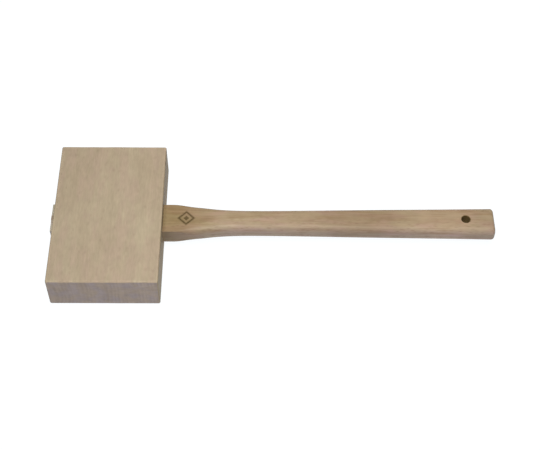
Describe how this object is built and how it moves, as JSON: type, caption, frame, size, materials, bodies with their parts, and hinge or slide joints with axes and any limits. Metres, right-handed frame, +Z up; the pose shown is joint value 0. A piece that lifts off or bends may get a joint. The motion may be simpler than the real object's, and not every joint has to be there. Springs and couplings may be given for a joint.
{
  "type": "wooden mallet",
  "caption": "Carpenter's mallet with a rectangular wooden head on a wedged through tenon and a long flat waisted handle with a hanging hole.",
  "frame": {"origin": "centre of the head's resting face, which lies flat on the bench", "axes": "+Z up out of the bench through the head's thickness, +X along the handle from the head to the tail, +Y along the head from one striking face to the other"},
  "size_m": [0.4019, 0.152, 0.0342],
  "materials": {
    "head": "planed and sanded, unfinished beech",
    "handle": "sanded beech, lightly oiled",
    "wedge": "sawn beech, trimmed and sanded"
  },
  "bodies": {
    "root": {"head": "head", "handle": "handle", "wedge": "wedge"}
  },
  "joints": []
}
